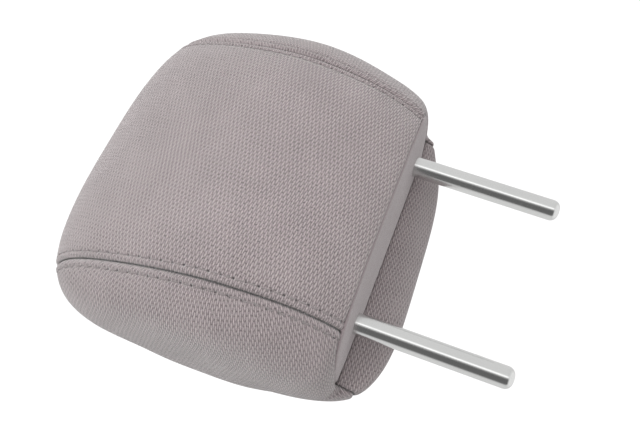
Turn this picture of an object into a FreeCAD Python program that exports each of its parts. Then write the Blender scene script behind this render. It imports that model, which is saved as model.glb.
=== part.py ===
import FreeCAD, Part
import math
import os

# Head restraint of a vehicle seat: a sewn and foam-filled pad on two bent steel posts.
# Millimetres. The origin is midway between the posts where they leave the pad's underside.
# +Z runs up the posts, +X is the occupant's left and +Y points to the rear.

# ---- posts ----
post_diameter = 14.0
post_spacing = 120.0
post_drop = 100.0
post_tip_round = 5.0
hidden_rod_diameter = 13.6
step_z = -0.45
rod_bend_radius = 28.0
rod_top_z = 130.0

# ---- pad ----
# The radii and the squareness are given every 30 degrees, from straight down round by the rear.
profile_centre = (-5.0, 84.2)
profile_radii = [106.0, 95.1, 73.3, 64.6, 67.9, 89.1, 120.9, 108.5, 87.0, 76.9, 85.0, 116.7]
squareness = [4.87, 3.42, 3.45, 3.70, 3.73, 3.42, 3.11, 2.76, 3.66, 3.82, 3.89, 3.14]
profile_samples = 36
half_width = 115.0
half_width_slope = 0.0267
half_width_curve = 0.00111
section_spread = 0.55
section_angles = [0.0, 8.0, 18.0, 28.0, 38.0, 48.0, 58.0, 68.0, 77.0, 84.0]

# ---- cover ----
cover_thickness = 3.0
seam_x = 84.0
seam_lean = 0.064
underside_slope = 0.049
closure_y = -19.0
closure_gap = 2.5
bolster_middle = (-26.0, -14.5)
bolster_foot = (-38.0, -27.0)

# ---- closure strips ----
strip_thickness = 1.6
strip_half_length = 84.0

# ---- core ----
core_half_width = 86.0
core_low_z = 38.0
core_high_z = 152.0
core_front_y = -34.0
core_rear_y = 24.0
core_wall = 3.0
core_corner_round = 9.0
saddle_levels = (52.0, 94.0)
saddle_half_width = 12.0
saddle_thickness = 6.0
screw_places = [(-30.0, 62.0), (30.0, 62.0), (-30.0, 106.0), (30.0, 106.0)]
screw_radius = 2.0
screw_head_radius = 4.0
screw_head_height = 2.8
screw_seat_y = 14.0
screw_tip_y = -18.0
boss_radius = 6.0

clearance = 0.2
reach = 160.0


def vector(x, y, z):
    return FreeCAD.Vector(x, y, z)


def closed_spline(values):
    """A smooth closed curve through evenly spaced values, as a function of the angle in radians."""
    count = len(values)
    step = 2.0 * math.pi / count
    bends = [0.0] * count
    for _ in range(60):
        for index in range(count):
            after = (index + 1) % count
            change = values[after] - 2.0 * values[index] + values[index - 1]
            bends[index] = (6.0 * change / step ** 2 - bends[index - 1] - bends[after]) / 4.0

    def value_at(angle):
        place = ((angle + math.pi / 2.0) / step) % count
        index = int(place)
        b = place - index
        a = 1.0 - b
        after = (index + 1) % count
        bent = (a ** 3 - a) * bends[index % count] + (b ** 3 - b) * bends[after]
        return a * values[index % count] + b * values[after] + bent * step ** 2 / 6.0
    return value_at


radius_at = closed_spline(profile_radii)
squareness_at = closed_spline(squareness)


def half_width_at(z, inset):
    rise = z - profile_centre[1]
    return half_width + half_width_slope * rise + half_width_curve * max(rise, 0.0) ** 2 - inset


def profile_points(inset):
    """Points of the pad's middle profile in the YZ plane, moved inwards by the inset."""
    centre_y, centre_z = profile_centre
    points = []
    for index in range(profile_samples):
        angle = math.radians(-90.0 + 360.0 * index / profile_samples)
        distance = radius_at(angle) - inset
        points.append(vector(0.0, centre_y + distance * math.cos(angle),
                             centre_z + distance * math.sin(angle)))
    return points


def section_point(point, x, inset):
    """The profile point drawn in towards the profile's centre for the section at x."""
    centre_y, centre_z = profile_centre
    power = squareness_at(math.atan2(point.z - centre_z, point.y - centre_y))
    scale = 1.0
    for _ in range(40):
        z = centre_z + scale * (point.z - centre_z)
        share = min(abs(x) / half_width_at(z, inset), 0.99999)
        wanted = (1.0 - share ** power) ** (1.0 / power)
        scale = 0.5 * scale + 0.5 * wanted
    return vector(x, centre_y + scale * (point.y - centre_y), centre_z + scale * (point.z - centre_z))


def section_wire(points, x, inset):
    curve = Part.BSplineCurve()
    curve.interpolate(Points=[section_point(point, x, inset) for point in points], PeriodicFlag=True)
    return Part.Wire([curve.toShape()])


def pad_solid(inset):
    """The whole pad as one closed solid, before the underside is cut."""
    points = profile_points(inset)
    reach_x = half_width - inset
    places = []
    for angle in section_angles:
        places.append(reach_x * math.sin(math.radians(angle)) ** section_spread)
    stations = [-x for x in reversed(places[1:])] + places
    return Part.makeLoft([section_wire(points, x, inset) for x in stations], True, False)


def prism_along_x(edges_or_points, half_length):
    """A prism along X on a closed outline in the YZ plane, given as points or as edges."""
    if isinstance(edges_or_points[0], tuple):
        corners = [vector(-half_length, y, z) for y, z in edges_or_points]
        wire = Part.makePolygon(corners + [corners[0]])
    else:
        wire = Part.Wire(edges_or_points)
    return Part.Face(wire).extrude(vector(2.0 * half_length, 0.0, 0.0))


def underside_z(y):
    return underside_slope * y


def underside_cut(lift, front_y):
    """The space under the pad: flat behind front_y, and in front of it down the bolster's back.

    lift moves both faces into the pad.
    """
    def at(y, z):
        return vector(-reach, y, z)

    top_front = at(front_y - lift, underside_z(front_y) + lift)
    top_rear = at(reach, underside_z(reach) + lift)
    low_rear = at(reach, -reach)
    middle = at(bolster_middle[0] - lift * 0.8, bolster_middle[1] + lift * 0.6)
    foot = at(bolster_foot[0] - lift * 0.3, bolster_foot[1] + lift)
    low_front = at(bolster_foot[0] - lift * 0.3, -reach)
    arc = Part.Arc(top_front, middle, foot).toShape()
    edges = [arc]
    corners = [foot, low_front, low_rear, top_rear, top_front]
    for start, end in zip(corners[:-1], corners[1:]):
        edges.append(Part.LineSegment(start, end).toShape())
    return prism_along_x(Part.sortEdges(edges)[0], reach)


def seam_block(side):
    """Everything outboard of the seam on one side."""
    low = seam_x + seam_lean * (-reach - profile_centre[1])
    high = seam_x + seam_lean * (2.0 * reach - profile_centre[1])
    corners = [(low, -reach), (high, 2.0 * reach), (2.0 * reach, 2.0 * reach), (2.0 * reach, -reach)]
    points = [vector(side * x, -reach, z) for x, z in corners]
    face = Part.Face(Part.makePolygon(points + [points[0]]))
    return face.extrude(vector(0.0, 2.0 * reach, 0.0))


def cover_panels():
    """The five sewn panels. They meet face to face along their seams."""
    outer = pad_solid(0.0)
    inner = pad_solid(cover_thickness)
    space = underside_cut(0.0, closure_y)
    deep_space = underside_cut(cover_thickness, closure_y)
    ring = outer.cut(inner).cut(space)
    left_block = seam_block(1.0)
    right_block = seam_block(-1.0)
    floor = inner.common(deep_space).cut(space)
    behind = Part.makeBox(2.0 * reach, reach, 2.0 * reach, vector(-reach, closure_y, -reach))
    ahead = Part.makeBox(2.0 * reach, reach, 2.0 * reach,
                         vector(-reach, closure_y - closure_gap - reach, -reach))
    underside = floor.common(behind)
    for side in (-1.0, 1.0):
        underside = underside.cut(post_hole(side))
    return {
        "centre_panel": ring.cut(left_block).cut(right_block),
        "left_side_panel": ring.common(left_block),
        "right_side_panel": ring.common(right_block),
        "underside_panel": underside,
        "bolster_flap": floor.common(ahead),
    }


def post_hole(side):
    return Part.makeCylinder(post_diameter / 2.0 + clearance, rod_top_z,
                             vector(side * post_spacing / 2.0, 0.0, -rod_top_z / 2.0))


def post_frame():
    """One steel rod, bent twice, whose two legs are the posts. It is a little thinner inside the pad."""
    half = post_spacing / 2.0
    bend_z = rod_top_z - rod_bend_radius
    bend_x = half - rod_bend_radius
    turn = rod_bend_radius * math.sin(math.radians(45.0))
    edges = [
        Part.LineSegment(vector(half, 0, step_z), vector(half, 0, bend_z)).toShape(),
        Part.Arc(vector(half, 0, bend_z), vector(bend_x + turn, 0, bend_z + turn),
                 vector(bend_x, 0, rod_top_z)).toShape(),
        Part.LineSegment(vector(bend_x, 0, rod_top_z), vector(-bend_x, 0, rod_top_z)).toShape(),
        Part.Arc(vector(-bend_x, 0, rod_top_z), vector(-bend_x - turn, 0, bend_z + turn),
                 vector(-half, 0, bend_z)).toShape(),
        Part.LineSegment(vector(-half, 0, bend_z), vector(-half, 0, step_z)).toShape(),
    ]
    circle = Part.makeCircle(hidden_rod_diameter / 2.0, vector(half, 0, step_z), vector(0, 0, 1))
    rod = Part.Wire(edges).makePipeShell([Part.Wire([circle])], True, False)
    for side in (-1.0, 1.0):
        leg = Part.makeCylinder(post_diameter / 2.0, post_drop + step_z,
                                vector(side * half, 0, -post_drop))
        tip = [edge for edge in leg.Edges if abs(edge.BoundBox.ZMax + post_drop) < 0.01]
        rod = rod.fuse(leg.makeFillet(post_tip_round, tip))
    return rod


def rear_closure_strip():
    """The hooked edging on the underside panel's front edge."""
    t = strip_thickness
    back = closure_y - 0.1
    base = underside_z(closure_y) + 0.4
    top = base + 12.0
    outline = [(back, base), (back, top), (back - 6.0, top), (back - 6.0, top - 5.0),
               (back - 6.0 + t, top - 5.0), (back - 6.0 + t, top - t), (back - t, top - t), (back - t, base)]
    return prism_along_x(outline, strip_half_length)


def front_closure_strip():
    """The hooked edging on the bolster flap's upper edge, caught in the rear one."""
    t = strip_thickness
    back = closure_y - 0.1
    floor = underside_z(closure_y) + 4.4
    tip = back - t - 0.6
    front = back - 9.0
    outline = [(tip, floor), (tip, floor + 5.5), (tip - t, floor + 5.5), (tip - t, floor + t),
               (front, floor + t), (front, floor - 4.0), (front + t, floor - 4.0), (front + t, floor)]
    return prism_along_x(outline, strip_half_length)


def core_block(inset):
    """The core's rounded box, smaller by the inset on every side."""
    low = vector(-core_half_width + inset, core_front_y + inset, core_low_z + inset)
    size_x = 2.0 * (core_half_width - inset)
    size_y = core_rear_y - core_front_y - 2.0 * inset
    size_z = core_high_z - core_low_z - 2.0 * inset
    block = Part.makeBox(size_x, size_y, size_z, low)
    return block.makeFillet(core_corner_round - inset * 0.8, block.Edges)


def core_halves(rod):
    """Front and rear core shells: walls, saddles that grip the rod, and screw bosses."""
    walls = core_block(0.0).cut(core_block(core_wall))
    inside = core_block(core_wall * 0.5)
    ribs = []
    depth = core_rear_y - core_front_y
    for side in (-1.0, 1.0):
        for level in saddle_levels:
            ribs.append(Part.makeBox(2.0 * saddle_half_width, depth, saddle_thickness,
                                     vector(side * post_spacing / 2.0 - saddle_half_width, core_front_y,
                                            level - saddle_thickness / 2.0)))
    ribs.append(Part.makeBox(saddle_thickness, depth, 2.0 * saddle_half_width,
                             vector(-saddle_thickness / 2.0, core_front_y, rod_top_z - saddle_half_width)))
    for x, z in screw_places:
        ribs.append(Part.makeCylinder(boss_radius, depth, vector(x, core_front_y, z), vector(0, 1, 0)))
    core = walls
    for rib in ribs:
        core = core.fuse(rib.common(inside))
    for x, z in screw_places:
        seat = vector(x, screw_seat_y, z)
        core = core.cut(Part.makeCylinder(screw_head_radius + clearance, depth, seat, vector(0, 1, 0)))
        core = core.cut(Part.makeCylinder(screw_radius, screw_seat_y - screw_tip_y,
                                          vector(x, screw_tip_y, z), vector(0, 1, 0)))
    core = core.cut(rod)
    front_half = Part.makeBox(2.0 * reach, reach, 2.0 * reach, vector(-reach, -reach, -reach))
    rear_half = Part.makeBox(2.0 * reach, reach, 2.0 * reach, vector(-reach, 0.0, -reach))
    return core.common(front_half), core.common(rear_half)


def core_screws():
    screws = []
    for x, z in screw_places:
        shank = Part.makeCylinder(screw_radius, screw_seat_y - screw_tip_y,
                                  vector(x, screw_tip_y, z), vector(0, 1, 0))
        head = Part.makeCylinder(screw_head_radius, screw_head_height, vector(x, screw_seat_y, z),
                                 vector(0, 1, 0))
        recess = Part.makeBox(1.0, 1.4, 5.0, vector(x - 0.5, screw_seat_y + screw_head_height - 1.4, z - 2.5))
        screws.append(shank.fuse(head).removeSplitter().cut(recess))
    return Part.makeCompound(screws)


def foam_pad():
    """Foam that fills the cover around the core, the posts and the closure strips."""
    foam = pad_solid(cover_thickness + clearance)
    foam = foam.cut(underside_cut(cover_thickness + clearance, closure_y))
    foam = foam.cut(core_block(-clearance))
    for side in (-1.0, 1.0):
        foam = foam.cut(post_hole(side))
    groove = [(closure_y + 0.4, -reach / 2.0), (closure_y + 0.4, 13.0), (closure_y - 11.0, 13.0),
              (closure_y - 11.0, -4.0)]
    return foam.cut(prism_along_x(groove, strip_half_length + 1.0))


def write(name, shape):
    shape.exportStep(os.path.join("parts", name + ".step"))
    print(name, "solids", len(shape.Solids), "valid", shape.isValid(), "volume", round(shape.Volume))


def main():
    os.makedirs("parts", exist_ok=True)
    rod = post_frame()
    front_core, rear_core = core_halves(rod)
    for name, panel in cover_panels().items():
        write(name, panel)
    write("foam_pad", foam_pad())
    write("post_frame", rod)
    write("core_front_shell", front_core)
    write("core_rear_shell", rear_core)
    write("core_screws", core_screws())
    write("rear_closure_strip", rear_closure_strip())
    write("front_closure_strip", front_closure_strip())


main()
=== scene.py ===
import math

import bpy
import numpy as np
from mathutils import Matrix, Vector


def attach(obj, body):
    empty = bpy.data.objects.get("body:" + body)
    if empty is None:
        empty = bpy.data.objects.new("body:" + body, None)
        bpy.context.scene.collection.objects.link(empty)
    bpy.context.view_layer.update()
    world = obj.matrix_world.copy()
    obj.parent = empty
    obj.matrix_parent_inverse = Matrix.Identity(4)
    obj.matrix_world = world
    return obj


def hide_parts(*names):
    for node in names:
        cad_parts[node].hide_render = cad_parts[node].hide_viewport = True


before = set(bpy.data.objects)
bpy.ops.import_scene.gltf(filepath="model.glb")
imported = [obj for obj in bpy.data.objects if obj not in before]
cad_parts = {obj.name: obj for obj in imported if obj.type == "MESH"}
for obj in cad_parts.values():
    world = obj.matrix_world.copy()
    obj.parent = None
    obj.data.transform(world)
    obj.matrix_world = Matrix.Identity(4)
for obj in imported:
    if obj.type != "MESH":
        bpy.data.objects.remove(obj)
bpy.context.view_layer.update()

# Head restraint of a vehicle seat, in metres. The origin is midway between the posts at the pad's
# underside, +Z up the posts, +X the near side, +Y the rear.

# ---- camera and stage: angles in degrees, lens and sensor in millimetres ----
CAMERA_PLACE = (0.2095, 0.4443, -0.0356)
CAMERA_AZIMUTH = 154.38
CAMERA_RISE = 9.58
CAMERA_ROLL = 71.33
CAMERA_LENS = 42.4
CAMERA_SENSOR = 36.0
FLOOR_Z = -0.60
FLOOR_REACH = 6.0
FLOOR_GREY = 0.93
FLOOR_GLOW = 0.18

# ---- light: bearings and blurs in degrees about +Z from +X, heights as the z of a direction ----
BACKDROP_POWER = 1.1
ROOM_LOW = 0.96
ROOM_HIGH = 1.08
ROOM_HEIGHTS = (-0.7, 0.3)
SIDE_SHARE = 0.24
DARK_BEARING = 30.0
DARK_HALF_WIDTH = 35.0
DARK_BLUR = 9.0
DARK_HEIGHT = 0.50
DARK_SHARE = 0.81
BRIGHT_BEARING = 80.0
BRIGHT_HALF_WIDTH = 6.0
BRIGHT_BLUR = 5.0
BRIGHT_HEIGHT = 0.35
BRIGHT_POWER = 0.8
BAND_BLUR = 0.25
MIDDLE_OF_PAD = (0.0, 0.0, 0.08)

# ---- shape of the pad, close to the CAD model's figures ----
# The section's radius and squareness are given every 30 degrees, from straight down towards the rear.
PROFILE_CENTRE = (-0.005, 0.0842)
PROFILE_RADII = (0.1060, 0.0951, 0.0733, 0.0646, 0.0679, 0.0891,
                 0.1209, 0.1085, 0.0870, 0.0769, 0.0850, 0.1167)
SQUARENESS = (4.87, 3.42, 3.45, 3.70, 3.70, 3.42, 3.15, 3.00, 3.50, 3.80, 3.87, 3.18)
HALF_WIDTH = 0.1146
HALF_WIDTH_SLOPE = 0.0225
HALF_WIDTH_CURVE = 1.11
SEAM_X = 0.0840
SEAM_LEAN = 0.064
UNDERSIDE_SLOPE = 0.049
CLOSURE_Y = -0.019
BOLSTER_MIDDLE = (-0.026, -0.0145)
BOLSTER_FOOT = (-0.038, -0.027)
COVER_THICKNESS = 0.0024
FOAM_DEPTH = 0.0031
FOAM_VOXEL = 0.003

# ---- the bolster flap: bearings in degrees of its front edge, at its middle and at its corners ----
FLAP_FRONT = 244.0
FLAP_CORNER = 248.0
FLAP_TUCK = 0.004
FLAP_LIP_Z = -0.021
END_MARGIN = 0.0002

# ---- rounding of the lower edge, and how far the side panel wraps under it; a range is (from, to) ----
SOFT_BASE = 0.002
SOFT_SIDES = 0.007
SOFT_LIP = 0.001
SOFT_SIDES_RANGE = (0.078, 0.096)
SOFT_LIP_RANGE = (0.002, 0.009)
WRAP_SHARE = 0.09
WRAP_RANGE = (0.080, 0.098)

# ---- the foam's unevenness ----
CORNER_FULLNESS = 0.0026
CORNER_BEARING = 88.0
CORNER_BEARING_SPREAD = 15.0
CORNER_X = 0.095
CORNER_X_SPREAD = 0.020
CORNER_REACH_RANGE = (0.030, 0.070)
LIP_LEAN = 0.042
LIP_DEPTH_RANGE = (-0.030, 0.020)
LIP_FRONT_RANGE = (0.019, 0.034)
NEAR_LIP_DROP = 0.0022
NEAR_LIP_RANGE = (0.078, 0.104)
FAR_LIP_RISE = 0.0050
FAR_LIP_RANGE = (0.070, 0.098)
FAR_END_RISE = 0.0022
FAR_END_RANGE = (0.072, 0.110)
FAR_END_DEPTH_RANGE = (-0.045, 0.0)

# ---- how sewing shapes the cloth: heights and distances from a seam or an edge ----
SEAM_DEPTH = 0.0024
SEAM_REACH = 0.0028
CHANNEL_DEPTH = 0.0007
CHANNEL_WIDTH = 0.0011
ROLL_HEIGHT = 0.0003
ROLL_OFFSET = 0.0034
ROLL_WIDTH = 0.0012
CROWN_HEIGHT = 0.0007
CROWN_REACH = 0.020
SEAM_FADE = 0.9
FADE_DEPTH_RANGE = (-0.004, 0.016)
FADE_FRONT_RANGE = (0.026, 0.038)
PANEL_EDGE = (0.0016, 0.0030)
FLAP_EDGE = (0.0012, 0.0026)
CLOSURE_EDGE = (0.0010, 0.0020)
UNDERSIDE_CROWN = 0.0005
UNDERSIDE_CROWN_REACH = 0.02
FLAP_HEM_DEPTH = 0.0016
FLAP_HEM_REACH = 0.007

# ---- stitching ----
TOPSTITCH_OFFSET = 0.0052
STITCH_PITCH = 0.0074
STITCH_LENGTH = 0.0056
STITCH_RISE = 0.0004
STITCH_DIP = 0.0010
STITCH_TAPER = 0.55
STITCH_RINGS = 7
THREAD_RADIUS = 0.00038
THREAD_SIDES = 8
# Pitch of the painted dashes of shade along the underside's hem.
HEM_STITCH = 0.0030

# ---- cloth: the length of a float and the height of a row in the weave, and the weave's turn in degrees ----
FLOAT_LENGTH = 0.0056
ROW_HEIGHT = 0.00134
WEAVE_TURN = 7.0
WEAVE_RELIEF = 0.9
UNDERSIDE_WEAVE = 0.0012
UNDERSIDE_RELIEF = 0.4

# ---- colours ----
CLOTH_LIGHT = (0.76, 0.655, 0.666, 1.0)
# The dark cloth colours are painted shade: each is its light colour shaded, laid in the gaps between floats,
# and scaled down further for the painted shade in needle holes and seam creases.
CLOTH_GAP_SHADE = (0.040, 0.033, 0.035, 1.0)
UNDERSIDE_LIGHT = (0.46, 0.39, 0.40, 1.0)
UNDERSIDE_GAP_SHADE = (0.30, 0.25, 0.26, 1.0)
THREAD_COLOUR = (0.40, 0.36, 0.36, 1.0)
FOAM_COLOUR = (0.72, 0.68, 0.55, 1.0)
CORE_COLOUR = (0.035, 0.036, 0.04, 1.0)
STRIP_COLOUR = (0.10, 0.095, 0.10, 1.0)
STEEL_COLOURS = ((0.72, 0.725, 0.72, 1.0), (0.80, 0.80, 0.79, 1.0))
ZINC_COLOURS = ((0.55, 0.56, 0.55, 1.0), (0.70, 0.71, 0.70, 1.0))
SHEEN_COLOUR = (0.86, 0.87, 0.86, 1.0)
WHITE = (1.0, 1.0, 1.0, 1.0)

# ---- accuracy: rounds of each search, its limits, and points on each traced line ----
SECTION_ROUNDS = 40
SURFACE_ROUNDS = 5
SEAM_ROUNDS = 12
WRAP_ROUNDS = 30
ROOT_ROUNDS = 45
FOAM_ROUNDS = 3
SLOPE_STEP = 1e-5
LOWEST_BEARING = -1.35
SIDE_POINTS = 400
WRAP_POINTS = 24
FLAP_POINTS = 60
BOLSTER_ROWS = 34
UNDER_ROWS = 46
ROW_MARGIN = 0.001
FACING_FACES = 400

TURN = 2.0 * math.pi
KNOT_STEP = TURN / len(PROFILE_RADII)


# ------------------------------------------------------------------ small tools

def smooth_step(value, low, high):
    """0 below low, 1 above high, and a smooth change between."""
    share = np.clip((value - low) / (high - low), 0.0, 1.0)
    return share * share * (3.0 - 2.0 * share)


def unit(vectors):
    return vectors / np.linalg.norm(vectors, axis=-1, keepdims=True)


def root(test, low, high):
    """Where test turns from positive at low to negative at high, for arrays of limits."""
    low = np.array(low, float)
    high = np.array(high, float)
    for _ in range(ROOT_ROUNDS):
        middle = 0.5 * (low + high)
        kept = test(middle) > 0.0
        low = np.where(kept, middle, low)
        high = np.where(kept, high, middle)
    return 0.5 * (low + high)


def lengths_along(grid, axis):
    """Arc length along the grid lines of that axis, in metres."""
    steps = np.linalg.norm(np.diff(grid, axis=axis), axis=-1)
    total = np.cumsum(steps, axis=axis)
    return np.concatenate([np.zeros_like(np.take(total, [0], axis=axis)), total], axis=axis)


def at_places(places, gone, values):
    """Points or normals at those distances along a line, from the values at the distances gone."""
    return np.stack([np.interp(places, gone, values[:, k]) for k in range(3)], -1)


def row_places(length, fine, wide, first=0.0004):
    """Distances along a row: fine steps near its start, then wide ones."""
    near = np.concatenate([[0.0], np.cumsum(np.linspace(first, first * 2.4, fine))])
    return np.concatenate([near, np.linspace(near[-1], length, wide + 1)[1:]])


def both_ends(length, fine, wide):
    """Places from 0 to 1 along a row of that length, with fine steps near both ends."""
    half = row_places(length / 2.0, fine, wide) / length
    return np.concatenate([half, 1.0 - half[::-1][1:]])


def new_object(name, data):
    """An object with that data, in the scene."""
    piece = bpy.data.objects.new(name, data)
    bpy.context.scene.collection.objects.link(piece)
    return piece


# ------------------------------------------------------------------ shape of the pad

def spline_bends(values, step):
    """Second derivatives of the closed cubic spline through evenly spaced values."""
    count = len(values)
    rows = 4.0 * np.eye(count) + np.roll(np.eye(count), 1, 1) + np.roll(np.eye(count), -1, 1)
    right = 6.0 * (np.roll(values, -1) - 2.0 * values + np.roll(values, 1)) / step ** 2
    return np.linalg.solve(rows, right)


def closed_spline(values):
    """A closed cubic spline in the angle, through values given every 30 degrees from straight down."""
    values = np.array(values)
    bends = spline_bends(values, KNOT_STEP)

    def value_at(angle):
        place = (np.asarray(angle) + math.pi / 2.0) / KNOT_STEP
        index = np.floor(place).astype(int)
        b = place - index
        a = 1.0 - b
        here, after = index % len(values), (index + 1) % len(values)
        bent = (a ** 3 - a) * bends[here] + (b ** 3 - b) * bends[after]
        return a * values[here] + b * values[after] + bent * KNOT_STEP ** 2 / 6.0
    return value_at


radius_at = closed_spline(PROFILE_RADII)
squareness_at = closed_spline(SQUARENESS)


def half_width_at(z):
    rise = z - PROFILE_CENTRE[1]
    return HALF_WIDTH + HALF_WIDTH_SLOPE * rise + HALF_WIDTH_CURVE * np.maximum(rise, 0.0) ** 2


def seam_x_at(z):
    return SEAM_X + SEAM_LEAN * (z - PROFILE_CENTRE[1])


def profile_point(scale, angle):
    """y and z of the point in that direction from the profile's centre, drawn in by the scale."""
    reach = scale * radius_at(angle)
    return PROFILE_CENTRE[0] + reach * np.cos(angle), PROFILE_CENTRE[1] + reach * np.sin(angle)


def pad_point(x, angle):
    """The point of the pad's outer surface at x, in that direction from the profile's centre."""
    power = squareness_at(angle)
    scale = np.ones(np.broadcast(x, angle).shape)
    for _ in range(SECTION_ROUNDS):
        _, z = profile_point(scale, angle)
        share = np.minimum(np.abs(x) / half_width_at(z), 0.99999)
        scale = 0.5 * scale + 0.5 * (1.0 - share ** power) ** (1.0 / power)
    y, z = profile_point(scale, angle)
    return np.stack([np.broadcast_to(x, y.shape), y, z], -1)


def side_point(scale, angle):
    """A point of the pad's near side, given how far it is drawn in: 0 is the middle of the side."""
    y, z = profile_point(scale, angle)
    power = squareness_at(angle)
    x = half_width_at(z) * (1.0 - np.clip(scale, 0.0, 1.0) ** power) ** (1.0 / power)
    return np.stack([x, y, z], -1)


def inside_pad(x, y, z):
    """Positive inside the pad's outer surface, 0 on it and smooth everywhere."""
    angle = np.arctan2(z - PROFILE_CENTRE[1], y - PROFILE_CENTRE[0])
    reach = np.hypot(y - PROFILE_CENTRE[0], z - PROFILE_CENTRE[1])
    power = squareness_at(angle)
    sideways = (np.abs(x) / half_width_at(z)) ** power
    drawn_in = (reach / radius_at(angle)) ** power
    return 1.0 - (sideways + drawn_in) ** (1.0 / power)


def circle_through(a, b, c):
    """Centre and radius of the circle through three points of the YZ plane."""
    rows = np.array([[b[0] - a[0], b[1] - a[1]], [c[0] - a[0], c[1] - a[1]]])
    right = 0.5 * np.array([b[0] ** 2 - a[0] ** 2 + b[1] ** 2 - a[1] ** 2,
                            c[0] ** 2 - a[0] ** 2 + c[1] ** 2 - a[1] ** 2])
    centre = np.linalg.solve(rows, right)
    return centre, math.hypot(a[0] - centre[0], a[1] - centre[1])


CLOSURE_POINT = (CLOSURE_Y, UNDERSIDE_SLOPE * CLOSURE_Y)
CLOSURE_BEARING = math.atan2(CLOSURE_POINT[1] - PROFILE_CENTRE[1], CLOSURE_Y - PROFILE_CENTRE[0]) + TURN
BOLSTER_CENTRE, BOLSTER_RADIUS = circle_through(CLOSURE_POINT, BOLSTER_MIDDLE, BOLSTER_FOOT)


def above_underside(y, z):
    return (z - UNDERSIDE_SLOPE * y) / math.hypot(1.0, UNDERSIDE_SLOPE)


def above_cut(y, z):
    """Depth inside the space that is kept: over the underside, or in front of the bolster's back."""
    ahead = BOLSTER_RADIUS - np.hypot(y - BOLSTER_CENTRE[0], z - BOLSTER_CENTRE[1])
    return np.maximum(above_underside(y, z), ahead)


def edge_softness(grid):
    """How far the rounding of the lower edge reaches: soft where the sides turn under, crisp elsewhere."""
    sideways = smooth_step(np.abs(grid[..., 0]), *SOFT_SIDES_RANGE)
    lip = smooth_step(-grid[..., 2], *SOFT_LIP_RANGE)
    return SOFT_BASE + SOFT_SIDES * sideways * (1.0 - lip) + SOFT_LIP * lip


def pad_depth(grid):
    """Depth below the pad's outer surface before it is cut, and the direction in which it grows."""
    here = inside_pad(grid[..., 0], grid[..., 1], grid[..., 2])
    slopes = []
    for axis in range(3):
        shift = np.zeros(3)
        shift[axis] = SLOPE_STEP
        moved = grid + shift
        slopes.append((inside_pad(moved[..., 0], moved[..., 1], moved[..., 2]) - here) / SLOPE_STEP)
    way = np.stack(slopes, -1)
    steep = np.linalg.norm(way, axis=-1)
    return here / steep, way / steep[..., None]


def cut_depth(grid):
    """Depth inside the space that above_cut keeps, and the direction in which it grows."""
    y, z = grid[..., 1], grid[..., 2]
    cut = above_cut(y, z)
    plane_way = np.array([0.0, -UNDERSIDE_SLOPE, 1.0]) / math.hypot(1.0, UNDERSIDE_SLOPE)
    away = np.stack([np.zeros_like(y), y - BOLSTER_CENTRE[0], z - BOLSTER_CENTRE[1]], -1)
    return cut, np.where((above_underside(y, z) >= cut)[..., None], plane_way, -unit(away))


def cover_depth(grid):
    """Depth below the rounded outer surface, and its gradient, at the points of a grid."""
    pad, pad_way = pad_depth(grid)
    cut, cut_way = cut_depth(grid)
    soft = edge_softness(grid)
    near = np.maximum(soft - np.abs(pad - cut), 0.0) / soft
    depth = np.minimum(pad, cut) - 0.25 * soft * near * near
    share = np.where(pad < cut, 1.0 - 0.5 * near, 0.5 * near)[..., None]
    return depth, share * pad_way + (1.0 - share) * cut_way


def onto_cover(grid):
    """The points moved onto the rounded surface, and the outward normals."""
    for _ in range(SURFACE_ROUNDS):
        found, way = cover_depth(grid)
        grid = grid - way * (found / np.sum(way * way, axis=-1))[..., None]
    _, way = cover_depth(grid)
    return grid, -unit(way)


def filled(grid, normal):
    """The foam's own unevenness: full upper corners, a lip that hangs lower towards the near side, and
    a far end that sits a little higher."""
    x, y, z = grid[..., 0], grid[..., 1], grid[..., 2]
    bearing = np.degrees(np.arctan2(z - PROFILE_CENTRE[1], y - PROFILE_CENTRE[0]))
    reach = np.hypot(y - PROFILE_CENTRE[0], z - PROFILE_CENTRE[1])
    corner = np.exp(-((bearing - CORNER_BEARING) / CORNER_BEARING_SPREAD) ** 2
                    - ((np.abs(x) - CORNER_X) / CORNER_X_SPREAD) ** 2)
    corner = corner * smooth_step(reach, *CORNER_REACH_RANGE)
    low = smooth_step(-z, *LIP_DEPTH_RANGE) * smooth_step(-y, *LIP_FRONT_RANGE)
    near_end = NEAR_LIP_DROP * smooth_step(x, *NEAR_LIP_RANGE)
    far_end = FAR_LIP_RISE * smooth_step(-x, *FAR_LIP_RANGE)
    drop = (LIP_LEAN * x + near_end - far_end) * low
    drop = drop - FAR_END_RISE * smooth_step(-x, *FAR_END_RANGE) * smooth_step(-z, *FAR_END_DEPTH_RANGE)
    grid = grid + normal * (CORNER_FULLNESS * corner)[..., None]
    return grid - np.stack([np.zeros_like(x), np.zeros_like(x), drop], -1)


def unwrapped_x(x):
    """The pad's edge for a side panel's lower edge at x: the panel is turned under at the sides."""
    return x * (1.0 + WRAP_SHARE * smooth_step(np.abs(x), *WRAP_RANGE))


def wrapped_x(edge_x):
    """Where the side panel's lower edge lies for a pad edge at edge_x."""
    x = np.array(edge_x, float)
    for _ in range(WRAP_ROUNDS):
        x = edge_x / (1.0 + WRAP_SHARE * smooth_step(x, *WRAP_RANGE))
    return x


def sharp_end(y, z):
    """Half length of the pad's section at this height and depth, before its edges are rounded."""
    found = root(lambda x: inside_pad(x, np.array([y]), np.array([z])), np.array([0.05]), np.array([0.1139]))
    return float(found[0])


FLAP_TIP = float(wrapped_x(sharp_end(CLOSURE_Y, CLOSURE_POINT[1])))


# ------------------------------------------------------------------ how sewing shapes the cloth

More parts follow.
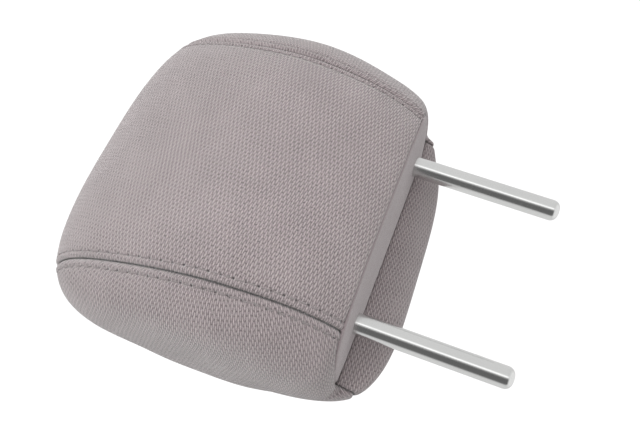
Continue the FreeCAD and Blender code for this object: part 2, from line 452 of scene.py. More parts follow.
def seam_shape(distance):
    """Height of the cloth near a seam: turned in at the seam, a roll, then the topstitch's channel."""
    turned = -SEAM_DEPTH * np.clip(1.0 - distance / SEAM_REACH, 0.0, 1.0) ** 2
    channel = -CHANNEL_DEPTH * np.exp(-((distance - TOPSTITCH_OFFSET) / CHANNEL_WIDTH) ** 2)
    roll = ROLL_HEIGHT * np.exp(-((distance - ROLL_OFFSET) / ROLL_WIDTH) ** 2)
    crown = CROWN_HEIGHT * smooth_step(distance - TOPSTITCH_OFFSET, 0.0, CROWN_REACH)
    return turned + channel + roll + crown


def seam_fade(grid):
    """1 over most of each seam, less where the seams run out round the lip."""
    low = smooth_step(-grid[..., 2], *FADE_DEPTH_RANGE) * smooth_step(-grid[..., 1], *FADE_FRONT_RANGE)
    return 1.0 - SEAM_FADE * low


def edge_shape(distance, depth, reach):
    """Height of the cloth where a panel is turned in along an edge."""
    return -depth * np.clip(1.0 - distance / reach, 0.0, 1.0) ** 2


# ------------------------------------------------------------------ panels
# A panel is a grid of points with its outward normals, its places in the weave, and the seam values:
# distance from the seam, distance along it, and distance from the nearest other edge. The cloth's material
# paints shade from these along seams, edges and the closure.

def rear_limit(x_share):
    """Angle at which the rear face meets the underside, for a share of the seam's width."""
    def test(angle):
        point = pad_point(x_share * seam_x_at(0.0), angle)
        return point[..., 2] - UNDERSIDE_SLOPE * point[..., 1]
    return root(test, np.zeros_like(x_share), np.full_like(x_share, LOWEST_BEARING))


def centre_panel():
    """From the underside up the rear face, over the top and down the front to the bolster flap."""
    across = both_ends(0.17, fine=14, wide=30) * 2.0 - 1.0
    low = rear_limit(across)
    high = np.full(across.shape, math.radians(FLAP_FRONT))
    along = both_ends(0.56, fine=10, wide=130)
    angle = low[None, :] + along[:, None] * (high - low)[None, :]
    x = np.broadcast_to(across * SEAM_X, angle.shape)
    for _ in range(SEAM_ROUNDS):
        point = pad_point(x, angle)
        x = across[None, :] * seam_x_at(point[..., 2])
    grid, normal = onto_cover(pad_point(x, angle))
    wide = lengths_along(grid, 1)
    long = lengths_along(grid, 0)
    from_seam = np.minimum(wide, wide[:, -1:] - wide)
    lift = seam_shape(from_seam) * seam_fade(grid) + edge_shape(long, *PANEL_EDGE)
    grid = filled(grid + normal * lift[..., None], normal)
    middle = wide[:, [wide.shape[1] // 2]]
    weave = np.stack([wide - middle, long], -1)
    seam = np.stack([from_seam, np.broadcast_to(long[:, [0]], long.shape), long], -1)
    return {"grid": grid, "normal": normal, "weave": weave, "seam": seam}


def flap_end(angle, seam_x):
    """Half length of the bolster flap: from the seam at its front edge out to its full length."""
    share = (np.degrees(angle) - FLAP_FRONT) / (FLAP_CORNER - FLAP_FRONT)
    return seam_x + (FLAP_TIP - seam_x) * np.clip(share, 0.0, 1.0)


def past_seam(point):
    return point[..., 0] - seam_x_at(point[..., 2])


def past_cut(point):
    return above_cut(point[..., 1], point[..., 2])


def pad_edge(angle, test):
    """How far the side is drawn in where the test on its points (1 is the whole section) changes sign."""
    return root(lambda scale: test(side_point(scale, angle)), np.full(angle.shape, 0.05),
                np.full(angle.shape, 0.9999))


def side_rim():
    """Bearings of the side panel's rows, how far its rim is drawn in at each, and which are on the seam."""
    def corner(angle):
        return pad_edge(angle, past_cut) - pad_edge(angle, past_seam)

    hem = float(root(corner, np.array([0.0]), np.array([LOWEST_BEARING]))[0])
    front = math.radians(FLAP_FRONT)
    seam_part = hem + (front - hem) * both_ends(0.52, fine=8, wide=110)
    bolster_part = front + (CLOSURE_BEARING - front) * np.linspace(0.0, 1.0, BOLSTER_ROWS)[1:]
    under_part = np.linspace(0.0, 1.0, UNDER_ROWS)[1:-1]
    under_part = CLOSURE_BEARING + (hem + TURN - CLOSURE_BEARING) * under_part
    angle = np.concatenate([seam_part, bolster_part, under_part])
    on_seam = np.arange(len(angle)) < len(seam_part)

    def past_flap(point):
        return point[..., 0] - flap_end(angle, seam_x_at(point[..., 2]))

    edge = np.where(angle <= CLOSURE_BEARING, pad_edge(angle, past_flap), 1.0)
    edge = np.where(on_seam, pad_edge(angle, past_seam), np.minimum(edge, pad_edge(angle, past_cut)))
    return angle, edge, on_seam


def side_row(angle, scale):
    """The points of a side panel's row: round the lower edge, if it wraps there, and to the side's middle."""
    shrink = scale * (1.0 - np.linspace(0.0, 1.0, SIDE_POINTS)[:-3] ** 1.6)
    path = side_point(shrink, np.full(shrink.shape, angle))
    start = FLAP_TIP if angle <= CLOSURE_BEARING else float(wrapped_x(path[0, 0]))
    if angle > math.radians(FLAP_CORNER) and start < path[0, 0] - 0.0001:
        under = np.repeat(path[:1], WRAP_POINTS, 0)
        under[:, 0] = np.linspace(start, path[0, 0], WRAP_POINTS)
        path = np.concatenate([under[:-1], path])
    gone = lengths_along(path, 0)
    return at_places(row_places(gone[-1], fine=22, wide=32), gone, path)


def from_rim(grid, into, rim, own_rows):
    """Distance from part of the rim, and its nearest point. A row that starts there has its own length."""
    gaps = np.linalg.norm(grid.reshape(-1, 1, 3) - rim[None], axis=-1)
    gap = gaps.min(1).reshape(into.shape)
    own = own_rows[:, None] & (into < gap + ROW_MARGIN)
    return np.where(own, into, gap), gaps.argmin(1).reshape(into.shape)


def side_panel(side):
    """From the seam to the middle of the side, and round under it to the underside and the flap."""
    angle, edge, on_seam = side_rim()
    seam_rows = np.count_nonzero(on_seam)
    grid, normal = onto_cover(np.array([side_row(*row) for row in zip(angle, edge)]))
    into = lengths_along(grid, 1)
    rim = grid[:, 0]
    travelled = lengths_along(rim, 0)
    lower_rim = np.concatenate([rim[~on_seam], rim[:1], rim[seam_rows - 1:seam_rows]])
    from_seam, seam_place = from_rim(grid, into, rim[on_seam], on_seam)
    from_edge, _ = from_rim(grid, into, lower_rim, ~on_seam)
    lift = seam_shape(from_seam) * seam_fade(grid) + edge_shape(from_edge, *PANEL_EDGE)
    mirror = np.array([side, 1.0, 1.0])
    grid = filled((grid + normal * lift[..., None]) * mirror, normal * mirror)
    away = grid[..., 1:] - PROFILE_CENTRE
    bearing = np.arctan2(away[..., 1], away[..., 0])
    from_pole = into[:, -1:] - into + np.linalg.norm(away[:, -1:], axis=-1)
    weave = np.stack([from_pole * np.cos(bearing), from_pole * np.sin(bearing)], -1)
    seam = np.stack([from_seam, travelled[seam_place], from_edge], -1)
    return {"grid": grid, "normal": normal * mirror, "weave": weave, "seam": seam, "seam_rows": seam_rows}


def across_pad():
    """Places along x from one end of the underside to the other."""
    return (both_ends(2.0 * FLAP_TIP, fine=10, wide=40) * 2.0 - 1.0) * (FLAP_TIP - END_MARGIN)


def underside_panel():
    """The flat strip that the posts come out of, from the closure to the rear face's lower edge."""
    across = across_pad()

    def test(y):
        return inside_pad(unwrapped_x(across), y, UNDERSIDE_SLOPE * y)

    rear = root(test, np.full(across.shape, CLOSURE_Y + 0.0005), np.full(across.shape, 0.09))
    along = both_ends(0.06, fine=8, wide=16)
    y = CLOSURE_Y + along[:, None] * (rear - CLOSURE_Y)[None, :]
    x = np.broadcast_to(across, y.shape)
    grid, _ = onto_cover(np.stack([x, y, UNDERSIDE_SLOPE * y], -1))
    normal = np.broadcast_to(np.array([0.0, UNDERSIDE_SLOPE, -1.0]), grid.shape)
    from_rear = (1.0 - along)[:, None] * (rear - CLOSURE_Y)[None, :]
    from_front = y - CLOSURE_Y
    from_edge = np.minimum(from_rear, FLAP_TIP - np.abs(x))
    lift = edge_shape(from_edge, *PANEL_EDGE) + edge_shape(from_front, *CLOSURE_EDGE)
    lift = lift + UNDERSIDE_CROWN * smooth_step(from_edge, 0.0, UNDERSIDE_CROWN_REACH)
    grid = filled(grid + normal * lift[..., None], normal)
    weave = np.stack([x, y], -1)
    # The third seam value, the distance from the hem or the closure, places the painted shade along them.
    seam = np.stack([np.full(x.shape, 1.0), x, np.minimum(from_edge, from_front)], -1)
    return {"grid": grid, "normal": normal, "weave": weave, "seam": seam}


def bolster_bearing(y, z):
    return math.atan2(z - BOLSTER_CENTRE[1], y - BOLSTER_CENTRE[0])


def bolster_place(angle):
    """y and z of a point of the bolster's back."""
    return (BOLSTER_CENTRE[0] + BOLSTER_RADIUS * np.cos(angle),
            BOLSTER_CENTRE[1] + BOLSTER_RADIUS * np.sin(angle))


def flap_column(x):
    """The flap's points at x: from its tucked edge down the bolster's back and forward round the lip."""
    first = bolster_bearing(CLOSURE_POINT[0], CLOSURE_POINT[1] + FLAP_TUCK)
    last = bolster_bearing(*BOLSTER_FOOT)
    end = root(lambda angle: inside_pad(x, *bolster_place(angle)), np.array([first - 0.12]),
               np.array([last - 0.45]))[0]
    y, z = bolster_place(np.linspace(first, end, FLAP_POINTS))
    down = np.stack([np.full(FLAP_POINTS, x), y, z], -1)
    lip = math.atan2(z[-1] - PROFILE_CENTRE[1], y[-1] - PROFILE_CENTRE[0]) + TURN
    seam_x = seam_x_at(FLAP_LIP_Z)
    outer = (abs(x) - seam_x) / (FLAP_TIP - seam_x)
    front = FLAP_FRONT + (FLAP_CORNER - FLAP_FRONT) * min(max(outer, 0.0), 1.0)
    turned = pad_point(np.full(FLAP_POINTS, x), np.linspace(lip, math.radians(front), FLAP_POINTS))
    path = np.concatenate([down, turned[1:]])
    gone = lengths_along(path, 0)
    return at_places(gone[-1] * both_ends(0.06, fine=8, wide=34), gone, path)


def bolster_flap():
    """The panel behind the front bolster, from the closure to the centre and side panels in front."""
    sharp = np.stack([flap_column(x) for x in across_pad()], 1)
    x, y, z = sharp[..., 0], sharp[..., 1], sharp[..., 2]
    grid, normal = onto_cover(sharp)
    tucked = (z > CLOSURE_POINT[1]) & (y > BOLSTER_MIDDLE[0])
    grid = np.where(tucked[..., None], sharp, grid)
    normal = np.where(tucked[..., None], np.array([0.0, 1.0, 0.0]), normal)
    long = lengths_along(grid, 0)
    from_edge = FLAP_TIP - np.abs(x)
    hem = FLAP_HEM_DEPTH * (1.0 - smooth_step(long, 0.0, FLAP_HEM_REACH))
    lift = edge_shape(from_edge, *FLAP_EDGE) - hem
    grid = filled(grid + normal * lift[..., None], normal)
    weave = np.stack([x, long], -1)
    # The distance from the closure places the painted shade of the closure gap on the flap.
    from_closure = np.where(tucked, 0.0, np.hypot(y - CLOSURE_Y, z - CLOSURE_POINT[1]))
    seam = np.stack([np.full(x.shape, 1.0), x, np.minimum(from_edge, from_closure)], -1)
    return {"grid": grid, "normal": normal, "weave": weave, "seam": seam}


# ------------------------------------------------------------------ meshes

def grid_faces(rows, columns, close_rows):
    """Faces of a grid. With close_rows the last row joins the first, and a fan closes the far end."""
    faces = []
    for i in range(rows if close_rows else rows - 1):
        below = (i + 1) % rows
        for j in range(columns - 1):
            faces.append((i * columns + j, i * columns + j + 1, below * columns + j + 1, below * columns + j))
    if close_rows:
        for i in range(rows):
            below = (i + 1) % rows
            faces.append((i * columns + columns - 1, rows * columns, below * columns + columns - 1))
    return faces


def add_attribute(mesh, label, values, pole):
    """A panel's weave or seam places on its mesh; pole is the value at the fan's middle."""
    flat = values.reshape(-1, values.shape[-1])
    data = np.zeros((len(mesh.vertices), 3), np.float32)
    data[len(flat):] = pole
    data[:len(flat), :flat.shape[-1]] = flat
    layer = mesh.attributes.new(label, "FLOAT_VECTOR", "POINT")
    layer.data.foreach_set("vector", data.ravel())


def grid_mesh(name, panel, close_rows):
    """A panel's mesh from its grid of points, with its weave and seam places, given thickness inwards."""
    grid = panel["grid"]
    points = grid.reshape(-1, 3)
    if close_rows:
        points = np.concatenate([points, grid[:, -1].mean(0, keepdims=True)])
    mesh = bpy.data.meshes.new(name)
    mesh.from_pydata(points.tolist(), [], grid_faces(*grid.shape[:2], close_rows))
    add_attribute(mesh, "weave", panel["weave"], (0.0, 0.0, 0.0))
    add_attribute(mesh, "seam", panel["seam"], (1.0, 0.0, 1.0))
    mesh.update()
    normals = panel["normal"][:-1, :-1].reshape(-1, 3)[:FACING_FACES]
    if sum(face.normal.dot(Vector(normal)) for face, normal in zip(mesh.polygons, normals)) < 0.0:
        mesh.flip_normals()
    mesh.shade_smooth()
    piece = new_object(name, mesh)
    shell = piece.modifiers.new("thickness", "SOLIDIFY")
    shell.thickness = COVER_THICKNESS
    shell.offset = -1.0
    shell.use_even_offset = False
    return piece


# ------------------------------------------------------------------ materials

class Nodes:
    """Short calls for building a node tree."""

    def __init__(self, tree):
        self.tree = tree

    def put(self, socket, value):
        if hasattr(value, "is_output"):
            self.tree.links.new(value, socket)
        elif value is not None:
            socket.default_value = value

    def math(self, operation, a, b=None, clamp=False):
        node = self.tree.nodes.new("ShaderNodeMath")
        node.operation = operation
        node.use_clamp = clamp
        for socket, value in zip(node.inputs, (a, b)):
            self.put(socket, value)
        return node.outputs[0]

    def add(self, a, b, clamp=False):
        return self.math("ADD", a, b, clamp)

    def subtract(self, a, b):
        return self.math("SUBTRACT", a, b)

    def multiply(self, a, b):
        return self.math("MULTIPLY", a, b)

    def attribute(self, name):
        node = self.tree.nodes.new("ShaderNodeAttribute")
        node.attribute_name = name
        return node.outputs["Vector"]

    def split(self, vector):
        node = self.tree.nodes.new("ShaderNodeSeparateXYZ")
        self.put(node.inputs[0], vector)
        return node.outputs

    def join(self, x, y, z=0.0):
        node = self.tree.nodes.new("ShaderNodeCombineXYZ")
        for socket, value in zip(node.inputs, (x, y, z)):
            self.put(socket, value)
        return node.outputs[0]

    def noise(self, vector, scale, detail=2.0, roughness=0.5):
        node = self.tree.nodes.new("ShaderNodeTexNoise")
        self.put(node.inputs["Vector"], vector)
        node.inputs["Scale"].default_value = scale
        node.inputs["Detail"].default_value = detail
        node.inputs["Roughness"].default_value = roughness
        return node.outputs["Fac"]

    def wobble(self, vector, scale, size, detail=2.0, roughness=0.5):
        """Noise about 0: size is the whole spread."""
        return self.multiply(self.subtract(self.noise(vector, scale, detail, roughness), 0.5), size)

    def object_place(self):
        return self.tree.nodes.new("ShaderNodeTexCoord").outputs["Object"]

    def mix(self, factor, a, b):
        node = self.tree.nodes.new("ShaderNodeMix")
        node.data_type = "RGBA"
        self.put(node.inputs["Factor"], factor)
        self.put(node.inputs["A"], a)
        self.put(node.inputs["B"], b)
        return node.outputs["Result"]

    def ramp(self, value, low, high, from_low, from_high):
        """low where the value is from_low, high where it is from_high, and straight between."""
        node = self.tree.nodes.new("ShaderNodeMapRange")
        self.put(node.inputs["Value"], value)
        node.inputs["From Min"].default_value = from_low
        node.inputs["From Max"].default_value = from_high
        node.inputs["To Min"].default_value = low
        node.inputs["To Max"].default_value = high
        return node.outputs[0]

    def bump(self, height, distance, strength):
        node = self.tree.nodes.new("ShaderNodeBump")
        node.inputs["Distance"].default_value = distance
        node.inputs["Strength"].default_value = strength
        self.put(node.inputs["Height"], height)
        return node.outputs[0]


def node_material(name):
    """A material with one shader, the calls for its nodes, and the shader's sockets."""
    material = bpy.data.materials.new(name)
    material.use_nodes = True
    tree = material.node_tree
    tree.nodes.clear()
    out = tree.nodes.new("ShaderNodeOutputMaterial")
    shader = tree.nodes.new("ShaderNodeBsdfPrincipled")
    tree.links.new(shader.outputs[0], out.inputs[0])
    return material, Nodes(tree), shader.inputs


def scaled(colour, factor, extra=0.0):
    """The colour made darker or lighter."""
    return tuple(min(1.0, factor * part + extra) for part in colour[:3]) + (1.0,)


def weave_height(n, u, v, float_length, row_height):
    """Brick-shaped floats in rows, each row half a float along from the last."""
    rows = n.math("DIVIDE", v, row_height)
    odd_row = n.math("ABSOLUTE", n.math("MODULO", n.math("FLOOR", rows), 2.0))
    floats = n.add(n.math("DIVIDE", u, float_length), n.multiply(odd_row, 0.5))
    across = n.math("ABSOLUTE", n.math("SINE", n.multiply(floats, math.pi)))
    along = n.math("ABSOLUTE", n.math("SINE", n.multiply(rows, math.pi)))
    return n.multiply(n.math("POWER", across, 0.6), n.math("POWER", along, 0.8))


def turned_weave(n, place, float_length, row_height):
    """The weave's height with its threads a little out of line, turned by WEAVE_TURN."""
    u, v, _ = n.split(place)
    u = n.add(n.add(u, n.wobble(place, scale=90.0, size=0.0016)), n.wobble(place, scale=420.0, size=0.0009))
    v = n.add(v, n.wobble(place, scale=130.0, size=0.0014))
    cosine = math.cos(math.radians(WEAVE_TURN))
    sine = math.sin(math.radians(WEAVE_TURN))
    across = n.add(n.multiply(u, cosine), n.multiply(v, sine))
    along = n.subtract(n.multiply(v, cosine), n.multiply(u, sine))
    return weave_height(n, across, along, float_length, row_height)


def sewing_shade(n, hem_stitch):
    """Masks for painted shade, each from 0 to 1: in the topstitching's needle holes, and in the crease at a
    seam or an edge.
    """
    from_seam, travelled, from_edge = n.split(n.attribute("seam"))
    step = n.math("FRACT", n.math("DIVIDE", travelled, STITCH_PITCH))
    along_gap = n.multiply(n.math("ABSOLUTE", n.subtract(step, 0.5)), STITCH_PITCH)
    across_gap = n.math("ABSOLUTE", n.subtract(from_seam, TOPSTITCH_OFFSET))
    reach = n.math("SQRT", n.add(n.math("POWER", along_gap, 2.0), n.math("POWER", across_gap, 2.0)))
    hole = n.ramp(reach, 1.0, 0.0, 0.0003, 0.0011)
    crease = n.ramp(from_seam, 1.0, 0.0, 0.0001, 0.0010)
    # Painted shade along a turned-in edge: the hem, the panels' lower edges and the closure.
    hem = n.ramp(from_edge, 0.75, 0.0, 0.0002, 0.0012)
    # On the underside the painted shade along the hem is broken into dashes, one for each hem stitch.
    if hem_stitch:
        dash = n.math("SINE", n.multiply(travelled, TURN / hem_stitch))
        hem = n.multiply(hem, n.ramp(dash, 0.35, 1.3, -0.4, 0.4))
    return hole, n.math("MAXIMUM", crease, hem)


def woven_material(name, light, dark, float_length, row_height, strength, hem_stitch=0.0):
    """Cloth: tall floats are light and the low gaps between them carry painted shade, with painted shade over
    them in the needle holes and along seam creases and edges.
    """
    material, n, sockets = node_material(name)
    place = n.attribute("weave")
    u, v, _ = n.split(place)
    height = turned_weave(n, place, float_length, row_height)
    grain = n.noise(n.join(u, n.multiply(v, 2.5)), scale=900.0, detail=3.0, roughness=0.65)
    grain = n.ramp(grain, 0.0, 1.0, 0.30, 0.70)
    # The floats' height paints shade in the gaps between them. The grain and the slow wobble are the cloth's
    # own uneven tone.
    grain_and_gap_shade = n.add(n.multiply(height, 0.5), n.multiply(grain, 0.5))
    grain_and_gap_shade = n.add(grain_and_gap_shade, n.wobble(place, scale=34.0, size=0.18, detail=3.0, roughness=0.6), clamp=True)
    hole, crease = sewing_shade(n, hem_stitch)
    # shade is the painted shade in needle holes and seam creases, laid over the cloth's colour.
    shade = n.math("MAXIMUM", n.multiply(hole, 0.65), n.multiply(crease, 0.8), clamp=True)
    n.put(sockets["Base Color"], n.mix(shade, n.mix(grain_and_gap_shade, dark, light), scaled(dark, 0.16)))
    relief = n.subtract(n.add(height, n.multiply(grain, 0.5)), n.multiply(hole, 1.6))
    n.put(sockets["Normal"], n.bump(relief, distance=0.0006, strength=strength))
    n.put(sockets["Roughness"], n.ramp(height, 0.96, 0.80, 0.0, 1.0))
    n.put(sockets["Specular IOR Level"], 0.25)
    n.put(sockets["Sheen Weight"], 0.85)
    n.put(sockets["Sheen Roughness"], 0.40)
    n.put(sockets["Sheen Tint"], SHEEN_COLOUR)
    return material


def thread_material(name, colour):
    """Sewing thread, with a fine twist."""
    material, n, sockets = node_material(name)
    twist = n.noise(n.object_place(), scale=2600.0)
    n.put(sockets["Base Color"], n.mix(twist, scaled(colour, 0.6), colour))
    n.put(sockets["Normal"], n.bump(twist, distance=0.0002, strength=0.6))
    n.put(sockets["Roughness"], 0.75)
    n.put(sockets["Sheen Weight"], 0.2)
    return material


def steel_material(name):
    """Polished steel, drawn along z, with faint smears."""
    material, n, sockets = node_material(name)
    place = n.object_place()
    x, y, z = n.split(place)
    stretched = n.join(n.multiply(x, 40.0), n.multiply(y, 40.0), z)
    drawn = n.noise(stretched, scale=60.0, detail=3.0, roughness=0.6)
    smear = n.noise(place, scale=38.0, detail=3.0, roughness=0.55)
    rough = n.add(n.multiply(drawn, 0.10), n.multiply(smear, 0.08))
    n.put(sockets["Base Color"], n.mix(smear, *STEEL_COLOURS))
    n.put(sockets["Roughness"], n.add(rough, 0.10))
    n.put(sockets["Normal"], n.bump(drawn, distance=0.00004, strength=0.25))
    n.put(sockets["Metallic"], 1.0)
    return material


def plastic_material(name, colour):
    """Moulded plastic, with a fine grain."""
    material, n, sockets = node_material(name)
    place = n.object_place()
    grain = n.noise(place, scale=900.0)
    smear = n.noise(place, scale=30.0, detail=3.0)
    n.put(sockets["Base Color"], n.mix(smear, colour, scaled(colour, 1.35, 0.01)))
    n.put(sockets["Roughness"], n.ramp(smear, 0.42, 0.6, 0.3, 0.7))
    n.put(sockets["Normal"], n.bump(grain, distance=0.00012, strength=0.35))
    return material


def foam_material(name, colour):
    """Moulded foam, with open cells and slightly darker patches."""
    material, n, sockets = node_material(name)
    place = n.object_place()
    cells = n.noise(place, scale=700.0, detail=4.0, roughness=0.7)
    patches = n.noise(place, scale=26.0, detail=3.0)
    n.put(sockets["Base Color"], n.mix(n.multiply(cells, patches), colour, scaled(colour, 0.78)))
    n.put(sockets["Normal"], n.bump(cells, distance=0.0005, strength=0.6))
    n.put(sockets["Roughness"], 0.95)
    return material


def zinc_material(name):
    """Zinc plating, with a soft spangle."""
    material, n, sockets = node_material(name)
    spangle = n.noise(n.object_place(), scale=500.0, detail=3.0)
    n.put(sockets["Base Color"], n.mix(spangle, *ZINC_COLOURS))
    n.put(sockets["Roughness"], n.ramp(spangle, 0.25, 0.4, 0.3, 0.7))
    n.put(sockets["Metallic"], 1.0)
    return material


# ------------------------------------------------------------------ thread

def stitch_points(places, path, normal, travelled):
    """Rings of points round one stitch, which dips into the cloth at both ends."""
    line = at_places(places, travelled, path)
    up = unit(at_places(places, travelled, normal))
    beside = np.cross(unit(np.gradient(line, axis=0)), up)
    share = np.abs(np.linspace(-1.0, 1.0, STITCH_RINGS))
    dip = STITCH_RISE - STITCH_DIP * share ** 4
    width = THREAD_RADIUS * (1.0 - STITCH_TAPER * share ** 6)
    points = []
    for ring in range(STITCH_RINGS):
        for side in range(THREAD_SIDES):
            turn = TURN * side / THREAD_SIDES
            offset = up[ring] * math.cos(turn) + beside[ring] * math.sin(turn)
            points.append(line[ring] + up[ring] * dip[ring] + offset * width[ring])
    return points


def stitch_faces(first):
    """Faces of a stitch whose points start at first: its wall and both its ends."""
    last = first + (STITCH_RINGS - 1) * THREAD_SIDES
    faces = []
    for ring in range(first, last, THREAD_SIDES):
        for side in range(THREAD_SIDES):
            a = ring + side
            b = ring + (side + 1) % THREAD_SIDES
            faces.append((a, b, b + THREAD_SIDES, a + THREAD_SIDES))
    faces.append(tuple(reversed(range(first, first + THREAD_SIDES))))
    faces.append(tuple(range(last, last + THREAD_SIDES)))
    return faces


def thread_row(name, path, normal, travelled, material):
    """A row of stitches on a path."""
    points = []
    faces = []
    for index in range(int(travelled[-1] / STITCH_PITCH)):
        middle = (index + 1.0) * STITCH_PITCH
        places = middle + (np.linspace(0.0, 1.0, STITCH_RINGS) - 0.5) * STITCH_LENGTH
        if places[-1] <= travelled[-1]:
            faces += stitch_faces(len(points))
            points += stitch_points(places, path, normal, travelled)
    mesh = bpy.data.meshes.new(name)
    mesh.from_pydata([tuple(point) for point in points], [], faces)
    mesh.shade_smooth()
    mesh.update()
    piece = new_object(name, mesh)
    mesh.materials.append(material)
    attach(piece, "root")


def row_at(panel, key, distance, rows, columns):
    """The line on a panel at that distance from its seam, over the rows and columns given."""
    gaps = panel["seam"][rows, columns, 0]
    values = panel[key][rows, columns]
    return np.array([at_places(distance, gap, value) for gap, value in zip(gaps, values)])


# ------------------------------------------------------------------ pieces

def place_panel(name, panel, material, node, close_rows=False):
    """A panel's piece, in place of its CAD node."""
    piece = grid_mesh(name, panel, close_rows)
    piece.data.materials.append(material)
    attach(piece, "root")
    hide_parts(node)


def topstitch(name, panel, rows, columns, material):
    """A row of topstitching beside a seam."""
    path = row_at(panel, "grid", TOPSTITCH_OFFSET, rows, columns)
    normal = row_at(panel, "normal", TOPSTITCH_OFFSET, rows, columns)
    travelled = panel["seam"][rows, columns.start, 1]
    thread_row(name, path, normal, travelled, material)


def cover_pieces():
    """The sewn cover, with its rows of topstitching."""
    cloth = woven_material("woven_cover", CLOTH_LIGHT, CLOTH_GAP_SHADE, FLOAT_LENGTH, ROW_HEIGHT, WEAVE_RELIEF)
    under_cloth = woven_material("woven_underside", UNDERSIDE_LIGHT, UNDERSIDE_GAP_SHADE, UNDERSIDE_WEAVE,
                                 UNDERSIDE_WEAVE, UNDERSIDE_RELIEF, HEM_STITCH)
    thread = thread_material("sewing_thread", THREAD_COLOUR)
    centre = centre_panel()
    place_panel("cover_centre", centre, cloth, "centre_panel")
    half = centre["grid"].shape[1] // 2
    topstitch("topstitch_centre_right", centre, slice(None), slice(0, half), thread)
    topstitch("topstitch_centre_left", centre, slice(None), slice(-1, half, -1), thread)
    for side, label in ((1.0, "left"), (-1.0, "right")):
        panel = side_panel(side)
        place_panel("cover_side_" + label, panel, cloth, label + "_side_panel", close_rows=True)
        topstitch("topstitch_side_" + label, panel, slice(0, panel["seam_rows"]), slice(0, 30), thread)
    place_panel("cover_underside", underside_panel(), under_cloth, "underside_panel")
    place_panel("cover_bolster_flap", bolster_flap(), cloth, "bolster_flap")


def foam_piece():
    """The foam, from its CAD solid: remeshed, and held below the cover with a groove under each seam."""
    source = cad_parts["foam_pad"]
    piece = new_object("foam_moulding", source.data.copy())
    remesh = piece.modifiers.new("even", "REMESH")
    remesh.mode = "VOXEL"
    remesh.voxel_size = FOAM_VOXEL
    even = bpy.data.meshes.new_from_object(piece.evaluated_get(bpy.context.evaluated_depsgraph_get()))
    piece.modifiers.clear()
    piece.data = even
    points = np.zeros(len(even.vertices) * 3)
    even.vertices.foreach_get("co", points)
    points = points.reshape(-1, 3)
    for _ in range(FOAM_ROUNDS):
        depth, way = cover_depth(points)
        from_seam = np.abs(np.abs(points[:, 0]) - seam_x_at(points[:, 2]))
        short = np.clip(FOAM_DEPTH - seam_shape(from_seam) - depth, 0.0, 0.02)
        points = points + unit(way) * short[:, None]
    points = filled(points, np.zeros_like(points))
    even.vertices.foreach_set("co", points.ravel())
    even.materials.clear()
    even.materials.append(foam_material("moulded_foam", FOAM_COLOUR))
    even.shade_smooth()
    even.update()
    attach(piece, "root")
    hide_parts("foam_pad")


def cad_pieces():
    """Materials for the CAD pieces that are kept as they are."""
    core_plastic = plastic_material("core_plastic", CORE_COLOUR)
    strip_plastic = plastic_material("strip_plastic", STRIP_COLOUR)
    for node, material in (("post_frame", steel_material("polished_steel")),
                           ("core_front_shell", core_plastic),
                           ("core_rear_shell", core_plastic),
                           ("core_screws", zinc_material("zinc_screw")),
                           ("rear_closure_strip", strip_plastic),
                           ("front_closure_strip", strip_plastic)):
        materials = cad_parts[node].data.materials
        materials.clear()
        materials.append(material)


# ------------------------------------------------------------------ stage, light and camera

def add_floor():
    """A pale floor that the object doesn't reflect and that doesn't colour it."""
    corners = [(x * FLOOR_REACH, y * FLOOR_REACH, FLOOR_Z) for x, y in ((-1, -1), (1, -1), (1, 1), (-1, 1))]
    mesh = bpy.data.meshes.new("floor")
    mesh.from_pydata(corners, [], [(0, 1, 2, 3)])
    floor = new_object("floor", mesh)
    material, n, sockets = node_material("pale_floor")
    n.put(sockets["Base Color"], (FLOOR_GREY, FLOOR_GREY, FLOOR_GREY, 1.0))
    n.put(sockets["Emission Color"], WHITE)
    n.put(sockets["Emission Strength"], FLOOR_GLOW)
    n.put(sockets["Roughness"], 0.8)
    mesh.materials.append(material)
    floor.visible_glossy = False
    floor.visible_diffuse = False


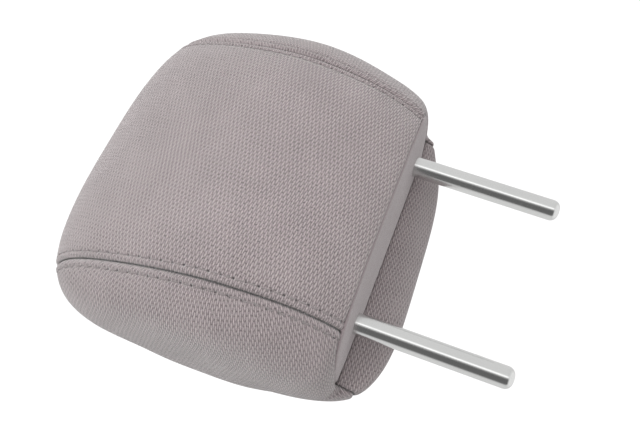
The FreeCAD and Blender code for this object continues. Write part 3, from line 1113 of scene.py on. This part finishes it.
def studio_world():
    """White to the camera. The object sees a pale room, with a bright strip and a dark one beside it."""
    world = bpy.data.worlds.new("studio")
    world.use_nodes = True
    tree = world.node_tree
    n = Nodes(tree)
    x, y, z = n.split(tree.nodes.new("ShaderNodeTexCoord").outputs["Generated"])
    bearing = n.math("ARCTAN2", y, x)

    def strip(middle, half_width, blur):
        """1 inside a strip of bearings, in degrees, with soft sides, and 0 outside."""
        away = n.math("ABSOLUTE", n.subtract(bearing, math.radians(middle)))
        return n.ramp(away, 1.0, 0.0, math.radians(half_width - blur), math.radians(half_width + blur))

    def band(height):
        """1 within that height of the horizon, and 0 well above and below it."""
        return n.ramp(n.math("ABSOLUTE", z), 1.0, 0.0, height, height + BAND_BLUR)

    def dimmed(power, where, share):
        """The power less that share of it, where the other value is 1."""
        return n.multiply(power, n.subtract(1.0, n.multiply(where, share)))

    dark = n.multiply(strip(DARK_BEARING, DARK_HALF_WIDTH, DARK_BLUR), band(DARK_HEIGHT))
    bright = n.multiply(strip(BRIGHT_BEARING, BRIGHT_HALF_WIDTH, BRIGHT_BLUR), band(BRIGHT_HEIGHT))
    room = n.ramp(z, ROOM_LOW, ROOM_HIGH, *ROOM_HEIGHTS)
    room = dimmed(dimmed(room, band(DARK_HEIGHT), SIDE_SHARE), dark, DARK_SHARE)
    room = n.add(room, n.multiply(bright, BRIGHT_POWER))
    seen = tree.nodes.new("ShaderNodeLightPath").outputs["Is Camera Ray"]
    power = n.add(n.multiply(room, n.subtract(1.0, seen)), n.multiply(seen, BACKDROP_POWER))
    background = tree.nodes["Background"]
    n.put(background.inputs["Color"], WHITE)
    n.put(background.inputs["Strength"], power)
    bpy.context.scene.world = world


def soft_light(name, place, size, power):
    """A square light turned to the pad. It doesn't show in reflections."""
    data = bpy.data.lights.new(name, "AREA")
    data.shape = "RECTANGLE"
    data.size = size
    data.size_y = size
    data.energy = power
    lamp = new_object(name, data)
    lamp.location = place
    lamp.rotation_euler = (Vector(MIDDLE_OF_PAD) - Vector(place)).to_track_quat("-Z", "Y").to_euler()
    lamp.visible_glossy = False


def add_camera():
    """The camera, from its place, its azimuth and rise as a view direction, and its roll about that."""
    data = bpy.data.cameras.new("camera")
    data.lens = CAMERA_LENS
    data.sensor_width = CAMERA_SENSOR
    azimuth, rise, roll = (math.radians(angle) for angle in (CAMERA_AZIMUTH, CAMERA_RISE, CAMERA_ROLL))
    level_ahead = (-math.sin(azimuth) * math.cos(rise), math.cos(azimuth) * math.cos(rise))
    ahead = Vector((*level_ahead, math.sin(rise)))
    level = ahead.cross(Vector((0.0, 0.0, 1.0))).normalized()
    up = level.cross(ahead) * math.cos(roll) + level * math.sin(roll)
    turn = Matrix((ahead.cross(up), up, -ahead)).transposed()
    camera = new_object("camera", data)
    camera.matrix_world = Matrix.Translation(CAMERA_PLACE) @ turn.to_4x4()
    bpy.context.scene.camera = camera


# ------------------------------------------------------------------ build

cover_pieces()
foam_piece()
cad_pieces()
add_floor()
studio_world()
soft_light("key", (0.40, 1.3, 0.8), size=0.9, power=12.0)
soft_light("rim", (0.60, -1.1, 0.0), size=0.8, power=2.8)
add_camera()
bpy.context.scene.view_settings.view_transform = "Standard"
